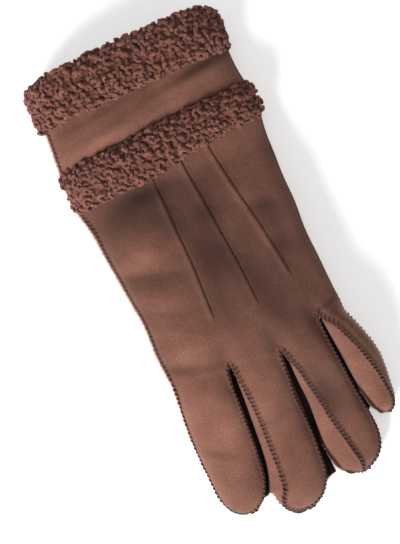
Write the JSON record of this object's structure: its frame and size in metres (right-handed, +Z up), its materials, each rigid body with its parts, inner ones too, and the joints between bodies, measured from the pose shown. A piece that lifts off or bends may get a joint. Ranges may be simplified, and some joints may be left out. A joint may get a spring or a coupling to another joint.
{
  "type": "winter glove",
  "caption": "Left-hand winter glove of brown faux suede with curly fleece trim round the mouth and across the wrist, sewn from back, palm, thumb and finger side strips.",
  "frame": {"origin": "on the floor under the middle of the glove's box", "axes": "+Y from the fingertips to the mouth, +X to the little-finger side, +Z up through the back of the hand"},
  "size_m": [0.1256, 0.2784, 0.0347],
  "materials": {
    "suede": "brushed faux suede, matt, dark brown thread",
    "fleece": "curly teddy fleece, matt, dark reddish brown"
  },
  "bodies": {
    "root": {"back_panel": "suede", "palm_panel": "suede", "thumb": "suede", "fourchette_index_middle": "suede", "fourchette_middle_ring": "suede", "fourchette_ring_little": "suede", "cuff_panel": "suede", "wrist_trim": "fleece", "cuff_trim": "fleece"}
  },
  "joints": []
}
